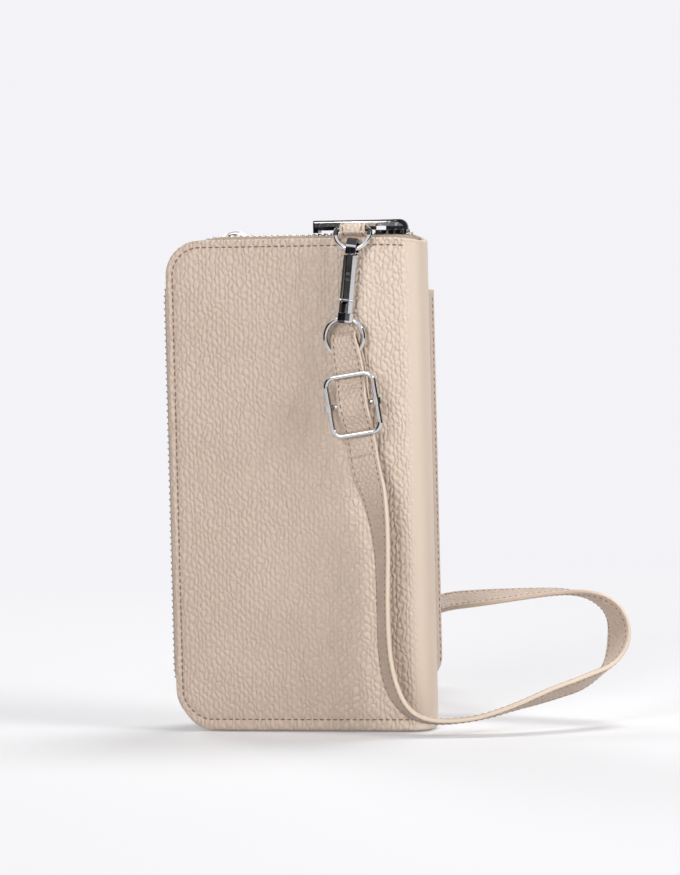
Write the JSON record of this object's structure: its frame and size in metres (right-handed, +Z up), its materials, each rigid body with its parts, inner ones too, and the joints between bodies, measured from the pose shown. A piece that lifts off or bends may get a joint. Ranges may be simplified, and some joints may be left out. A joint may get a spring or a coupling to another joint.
{
  "type": "phone pouch",
  "caption": "Upright zip-around leather phone pouch with a folding spine, card pockets, an outer phone sleeve and a stitched shoulder strap on swivel snap hooks.",
  "frame": {"origin": "centre of the pouch's own box at floor level, strap left out", "axes": "+Z up along the pouch's height, -Y out of the plain face, +X towards the folding spine, +Y towards the phone sleeve"},
  "size_m": [0.1932, 0.2515, 0.1993],
  "materials": {
    "body_leather": "pebble-grained beige leather, satin",
    "lining_leather": "smooth lining leather, matt",
    "stiffener": "grey-brown stiffening board, matt",
    "zip_tape": "woven zip tape, dark brown, matt",
    "zip_teeth": "worn pale metal teeth, satin",
    "polished_metal": "polished nickel plate",
    "spring_steel": "bare spring steel",
    "strap_leather": "taupe strap leather, stitched, pale painted edges",
    "tie": "thin leather keeper round the coil"
  },
  "bodies": {
    "back_half": {"back_cover": "body_leather", "back_board": "stiffener", "back_lining": "lining_leather", "spine_wrap": "body_leather", "back_zip_tape": "zip_tape", "back_zip_teeth": "zip_teeth", "back_zip_stops": "zip_teeth", "card_pocket_1": "lining_leather", "card_pocket_2": "lining_leather", "card_pocket_3": "lining_leather", "top_gusset": "lining_leather", "bottom_gusset": "lining_leather", "near_tab": "body_leather", "strap_top": "strap_leather", "strap_sewn_end": "strap_leather", "strap_front_run": "strap_leather", "strap_side_loop": "strap_leather", "strap_back_run": "strap_leather", "strap_coil": "strap_leather", "strap_tail": "strap_leather", "strap_far_end": "strap_leather", "coil_tie": "tie", "strap_ring_1": "polished_metal", "strap_ring_2": "polished_metal", "buckle_frame": "polished_metal", "buckle_bar": "polished_metal", "hook_1_collar": "polished_metal", "hook_2_collar": "polished_metal"},
    "front_half": {"front_cover": "body_leather", "front_board": "stiffener", "front_lining": "lining_leather", "front_zip_tape": "zip_tape", "front_zip_teeth": "zip_teeth", "front_zip_stops": "zip_teeth", "slip_pocket": "lining_leather", "phone_pocket": "body_leather", "far_chape": "body_leather"},
    "divider": {"divider": "lining_leather"},
    "zip_slider": {"zip_slider": "polished_metal", "zip_bridge": "polished_metal"},
    "zip_pull": {"zip_pull": "polished_metal"},
    "d_ring_1": {"d_ring_1": "polished_metal"},
    "d_ring_2": {"d_ring_2": "polished_metal"},
    "hook_1": {"hook_1_body": "polished_metal", "hook_1_gate_pin": "spring_steel", "hook_1_spring": "spring_steel"},
    "hook_1_gate": {"hook_1_gate": "polished_metal"},
    "hook_2": {"hook_2_body": "polished_metal", "hook_2_gate_pin": "spring_steel", "hook_2_spring": "spring_steel"},
    "hook_2_gate": {"hook_2_gate": "polished_metal"}
  },
  "joints": [
    {"name": "front_half_open", "type": "hinge", "parent": "back_half", "child": "front_half", "pos_m": [0.05305, -0.00286, 0.0978], "axis": [0, 0, -1], "range_deg": [0, 45], "deforming": ["spine_wrap", "top_gusset", "bottom_gusset", "front_zip_teeth"]},
    {"name": "divider_swing", "type": "hinge", "parent": "back_half", "child": "divider", "pos_m": [0.05305, -0.00286, 0.0978], "axis": [0, 0, -1], "range_deg": [0, 22.5]},
    {"name": "zip_slider_run", "type": "slide", "parent": "back_half", "child": "zip_slider", "axis": [-1, 0, 0], "range_m": [0, 0.058], "deforming": ["back_zip_teeth", "front_zip_teeth"]},
    {"name": "zip_pull_swing", "type": "hinge", "parent": "zip_slider", "child": "zip_pull", "pos_m": [0.04075, -0.00286, 0.19785], "axis": [0, 1, 0], "range_deg": [0, 150]},
    {"name": "d_ring_1_swing", "type": "hinge", "parent": "back_half", "child": "d_ring_1", "pos_m": [0.02735, -0.01577, 0.1963], "axis": [-1, 0, 0], "range_deg": [-2, 3]},
    {"name": "d_ring_2_swing", "type": "hinge", "parent": "front_half", "child": "d_ring_2", "pos_m": [-0.0265, 0.01083, 0.1859], "axis": [-1, 0, 0], "range_deg": [0, 165]},
    {"name": "hook_1_swivel", "type": "hinge", "parent": "back_half", "child": "hook_1", "pos_m": [0.02448, -0.01903, 0.16195], "axis": [0.1167, 0, 0.9932], "range_deg": [-5, 5]},
    {"name": "hook_1_gate_press", "type": "hinge", "parent": "hook_1", "child": "hook_1_gate", "pos_m": [0.02529, -0.02149, 0.1689], "axis": [-0.9932, 0, 0.1167], "range_deg": [0, 11], "stiffness_Nm_per_rad": 0.03, "springref_deg": -2.86, "deforming": ["hook_1_spring"]},
    {"name": "hook_2_swivel", "type": "hinge", "parent": "back_half", "child": "hook_2", "pos_m": [-0.06255, 0.1897, 0.00779], "axis": [0, 0.989, -0.1478], "continuous": true},
    {"name": "hook_2_gate_press", "type": "hinge", "parent": "hook_2", "child": "hook_2_gate", "pos_m": [-0.065, 0.19663, 0.00676], "axis": [0, -0.1478, -0.989], "range_deg": [0, 11], "stiffness_Nm_per_rad": 0.03, "springref_deg": -2.86, "deforming": ["hook_2_spring"]}
  ],
  "couplings": [
    {"joint": "divider_swing", "follows": "front_half_open", "ratio": 0.5}
  ]
}
